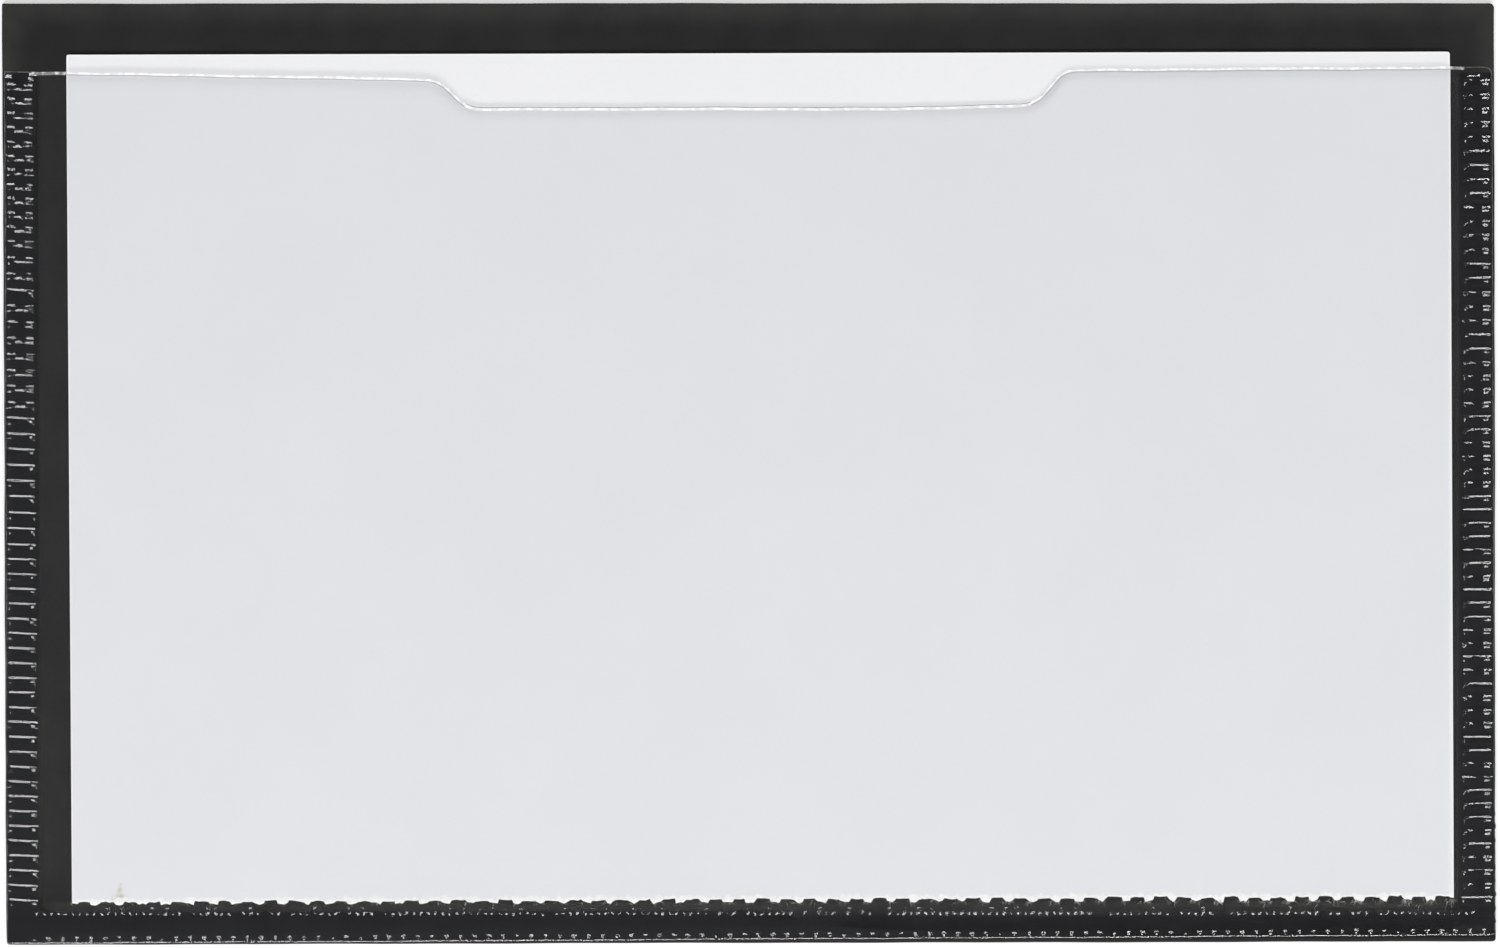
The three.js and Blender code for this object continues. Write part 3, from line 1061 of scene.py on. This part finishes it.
def film_seams():
    """The left, right and bottom welds."""
    outer = FILM_SIDE - SIDE_MARGIN
    sides = (SIDE_TOP, SIDE_BOTTOM)
    return (
        Seam(1, sides, LEFT_TROUGHS, LEFT_PACE, LEFT_INNER, (-outer, -outer), LEFT_DEPTHS, LEFT_SLANT),
        Seam(1, sides, RIGHT_TROUGHS, RIGHT_PACE, RIGHT_INNER, (outer, outer), RIGHT_DEPTHS),
        Seam(0, BOTTOM_ENDS, BOTTOM_TROUGHS, EVEN_PACE, BOTTOM_INNER, BOTTOM_OUTER, BOTTOM_DEPTHS),
    )


def film_beads(left, right, low):
    """The beads along the three welds and at the two open ends."""
    return Beads(
        left.beads(LEFT_BEADS)
        + left.beads(LEFT_UPPER_BEADS, above=6.0, missing=0.15)
        + right.beads(RIGHT_BEADS)
        + low.beads(BOTTOM_BEADS)
        + low.beads(RIDGE_BEADS, at_ridges=True)
        + list(CORNER_BEADS)
    )


def pocket_samples(lip):
    """Mesh points over the pocket, close together on its slopes and by its open edge."""
    slope = np.linspace(0.1, SLOPE_WIDTH + 0.2, 7)
    rows = np.arange(SIDE_BOTTOM, FILM_TOP, SLOPE_STEP)
    columns = np.arange(-65, 65.2, SLOPE_STEP)
    slopes = np.vstack([
        grid(-POCKET_SIDE + slope, rows),
        grid(POCKET_SIDE - slope, rows),
        grid(columns, POCKET_FLOOR + slope),
    ])
    field = grid(np.arange(-63.5, 63.6, FIELD_STEP), np.arange(-38, 36, FIELD_STEP))
    by_lip = (LIP_GLOW, LIP_DARK_LINE, 0.5, LIP_SHADE, 1.3, 1.9, 2.6, 3.4)
    return np.vstack([slopes, field] + [ring_inside(lip, d) for d in by_lip])


def film_materials():
    """The film's materials, in the order of its slots."""
    clear, shade = (0.982, 0.984, 0.991, 1), (0.963, 0.965, 0.969, 1)
    return [
        clear_film_material("clear_vinyl", clear, shade),
        clear_film_material("clear_vinyl_by_lip", clear, (0.74, 0.742, 0.75, 1)),
        # Painted glow on the cut lip, brighter over the bare sheet and faint on the welds.
        glowing_edge_material("cut_vinyl_lip_painted_glow", 0.7, 1.15, 0.42),
        # Painted shade: a dark tint stands in for the dark line that the lip's cut edge shows.
        clear_film_material("lip_painted_dark_line", (0.55, 0.55, 0.56, 1), (0.8, 0.8, 0.81, 1)),
        glowing_edge_material("cut_lip_over_sheet_painted_glow", 0.25, 1.2, 0.42),
        glowing_edge_material("cut_lip_on_weld_painted_glow", 0.04, 0.2, 0.3),
    ]


def make_clear_front():
    """The film: flat over the pocket, sloping down to the welds and pressed along them."""
    seams = film_seams()
    left, right, low = seams
    beads = film_beads(left, right, low)
    outline = film_outline()
    lip = lip_line(outline)

    def rise(points):
        x, y = points[:, 0], points[:, 1]
        from_left = x - (left.lines(y)[0] + 0.15)
        from_right = (right.lines(y)[0] - 0.15) - x
        from_low = y - (low.lines(x)[0] + 0.1)
        share = (
            smooth_step(0, SLOPE_WIDTH, from_left)
            * smooth_step(0, SLOPE_WIDTH, from_right)
            * np.clip(from_low / LOW_SLOPE_WIDTH, 0.0, 1.0)
        )
        near_lip = smooth_step(LIP_REACH, 0.0, gap_to(lip, points, closed=False))
        lift = np.interp(x, LIP_PLACES, LIP_LIFTS) * near_lip
        billow = 0.012 * np.sin(x / 13.0 + 0.4 * np.sin(y / 17.0)) * np.sin(y / 15.0 + 1.0)
        return (POCKET_RISE + lift + billow) * share

    def edge_drop(points):
        x, y = points[:, 0], points[:, 1]
        uneven = 1.0 + 0.13 * np.sin(x * 2.3 + np.sin(x * 0.7)) * np.sin(y * 1.9 + 0.5)
        reach = np.maximum(EDGE_BEVEL - gap_to(outline, points), 0.0)
        return reach * LIT_SLOPE * steeper(y) * uneven

    def top(points):
        pressed = sum(seam.pressed(points) for seam in seams)
        height = SHEET_TOP + rise(points) + FILM_THICKNESS - pressed + beads.height(points)
        return height - edge_drop(points)

    def bottom(points):
        return SHEET_TOP + rise(points) - BOND_DEPTH

    coarse = pocket_samples(lip)
    rings = [ring_inside(outline, d) for d in (0.045, EDGE_BEVEL)]
    fine = np.vstack([seam.samples() for seam in seams] + rings + [beads.samples(), coarse])
    points, faces = closed_plate(outline, fine, coarse, top, bottom, 0.02)
    corners = np.array([f[:3] for f in faces])
    middles = points[corners].mean(1)
    from_lip = gap_to(lip, middles[:, :2], closed=False)
    upper = middles[:, 2] > SHEET_TOP + rise(middles[:, :2]) + FILM_THICKNESS * 0.45
    slots = lip_slots(from_lip, middles[:, 0], upper)
    bevel = gap_to(outline, middles[:, :2]) < EDGE_BEVEL
    at_side = np.abs(middles[:, 0]) > FILM_SIDE - 0.4
    # Painted glow along the film's cut side edges.
    slots[bevel & at_side & upper] = GLOWING_ON_WELD
    smooth = ~((bevel | beads.cover(middles[:, :2])) & upper)
    points[:, :2] = rotated(points[:, :2], FILM_TURN)
    return new_piece("clear_film", points, faces, film_materials(), slots, smooth)


# Stage, lamps and camera

def make_floor():
    """The white ground, just below the holder."""
    size, height = 3000.0, -0.02
    points = [(-size, -size, height), (size, -size, height), (size, size, height), (-size, size, height)]
    floor = new_piece("ground", points, [(0, 1, 2, 3)], [floor_material()], smooth=False)
    floor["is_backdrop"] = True


def add_lamp(name, place, size, power, mirrored=True):
    """A lamp aimed at the middle, in metres and watts. One not mirrored gives no highlights."""
    data = bpy.data.lights.new(name, "AREA")
    data.shape = "RECTANGLE"
    data.size, data.size_y = size
    data.energy = power
    lamp = bpy.data.objects.new(name, data)
    lamp.location = place
    lamp.rotation_euler = Vector(place).to_track_quat("Z", "Y").to_euler()
    lamp.visible_glossy = mirrored
    lamp.visible_transmission = mirrored
    bpy.context.scene.collection.objects.link(lamp)


def make_lights():
    """One strip that the beads mirror, two soft fills that they don't, and a dim room."""
    add_lamp("strip_below", (0.0, -1.0, 0.7), (1.4, 0.34), 19.4)
    add_lamp("soft_overhead", (0.0, 0.1, 1.1), (0.9, 0.9), 5.0, mirrored=False)
    add_lamp("soft_above", (0.0, 1.2, 0.8), (1.2, 0.6), 5.3, mirrored=False)
    world = bpy.data.worlds.new("studio")
    world.use_nodes = True
    tools = Nodes(world.node_tree)
    background = world.node_tree.nodes["Background"]
    seen = tools.add("ShaderNodeLightPath").outputs["Is Camera Ray"]
    surroundings, seen_white = (0.03, 0.03, 0.03, 1), (0.93, 0.93, 0.93, 1)
    tools.link(tools.mix(seen, surroundings, seen_white), background.inputs["Color"])
    bpy.context.scene.world = world


def make_camera():
    """A camera straight above, as high as the width that it sees asks for."""
    data = bpy.data.cameras.new("camera")
    data.lens = CAMERA_LENS
    data.sensor_width = CAMERA_SENSOR
    camera = bpy.data.objects.new("camera", data)
    height = CAMERA_WIDTH_SEEN * CAMERA_LENS / CAMERA_SENSOR + SHEET_TOP
    camera.location = (CAMERA_TARGET[0] * MM, CAMERA_TARGET[1] * MM, height * MM)
    bpy.context.scene.collection.objects.link(camera)
    bpy.context.scene.camera = camera


def main():
    """Makes the pieces, hangs them all from the root body, hides the imported parts that they stand in
    for, and sets the stage.
    """
    sheet = make_magnet_sheet()
    card = make_card()
    fibres = make_torn_fibres()
    film = make_clear_front()
    for piece, node, slot in (
        (sheet, "magnetic_backing", "magnet_sheet"),
        (card, "label_card", "label_paper"),
        (fibres, None, "label_paper"),
        (film, "clear_front", "clear_film"),
    ):
        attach(piece, "root")
        if node:
            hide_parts(node)
    make_floor()
    make_lights()
    make_camera()
    scene = bpy.context.scene
    scene.view_settings.view_transform = "Standard"
    scene.cycles.caustics_refractive = False
    scene.cycles.caustics_reflective = False


main()

boxes = {"cad": cad_box, "visual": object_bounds()}
{name: [list(corner) for corner in box] for name, box in boxes.items()}
